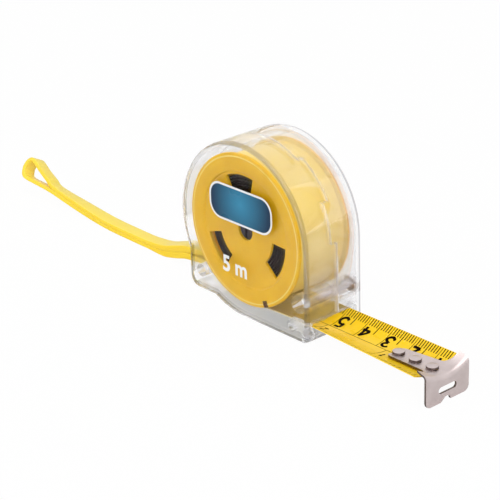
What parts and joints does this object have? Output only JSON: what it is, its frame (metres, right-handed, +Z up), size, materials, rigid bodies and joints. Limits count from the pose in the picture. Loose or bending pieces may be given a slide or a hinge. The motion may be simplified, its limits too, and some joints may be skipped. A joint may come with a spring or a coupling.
{
  "type": "pocket steel tape measure",
  "caption": "Pocket steel tape in a clear two-half case: sprung reel, curved yellow blade drawn partly out, slotted end hook on rivets, and a flat wrist strap.",
  "frame": {"origin": "middle of the length and width, on the floor the tape stands on", "axes": "+X along the blade towards its hook, +Y from the label side to the screw side, +Z up"},
  "size_m": [0.2002, 0.0248, 0.0585],
  "materials": {
    "clear_plastic": "clear polished",
    "dark_steel": "blued spring steel",
    "nickel": "nickel plate",
    "blade_enamel": "glossy enamel",
    "reel_plastic": "moulded",
    "strap_vinyl": "soft vinyl"
  },
  "bodies": {
    "case": {"case_near": "clear_plastic", "case_far": "clear_plastic", "spindle": "dark_steel", "screw_centre": "nickel", "screw_front": "nickel", "screw_heel": "nickel", "blade_lead": "blade_enamel"},
    "reel": {"reel_drum": "reel_plastic", "reel_cover": "reel_plastic", "blade_core": "blade_enamel", "blade_wrap": "blade_enamel", "power_spring": "dark_steel"},
    "blade": {"blade": "blade_enamel", "blade_tail": "blade_enamel", "hook_rivet_1": "nickel", "hook_rivet_2": "nickel", "hook_rivet_3": "nickel"},
    "hook": {"hook": "nickel"},
    "strap": {"wrist_strap": "strap_vinyl"}
  },
  "joints": [
    {"name": "reel_spin", "type": "hinge", "parent": "case", "child": "reel", "pos_m": [0.02104, 0, 0.0292], "axis": [0, -1, 0], "range_deg": [-108.7, 0], "deforming": ["power_spring"]},
    {"name": "blade_slide", "type": "slide", "parent": "case", "child": "blade", "axis": [0.9973, 0, 0.0737], "range_m": [-0.0456, 0], "deforming": ["blade", "blade_tail"]},
    {"name": "hook_play", "type": "slide", "parent": "blade", "child": "hook", "axis": [0.9973, 0, 0.0737], "range_m": [-0.0009, 0]},
    {"name": "strap_swing", "type": "hinge", "parent": "case", "child": "strap", "pos_m": [0.00117, 0, 0.00768], "axis": [0, 1, 0], "range_deg": [0, 18]}
  ],
  "couplings": [
    {"joint": "blade_slide", "follows": "reel_spin", "m_per_rad": 0.024025}
  ]
}
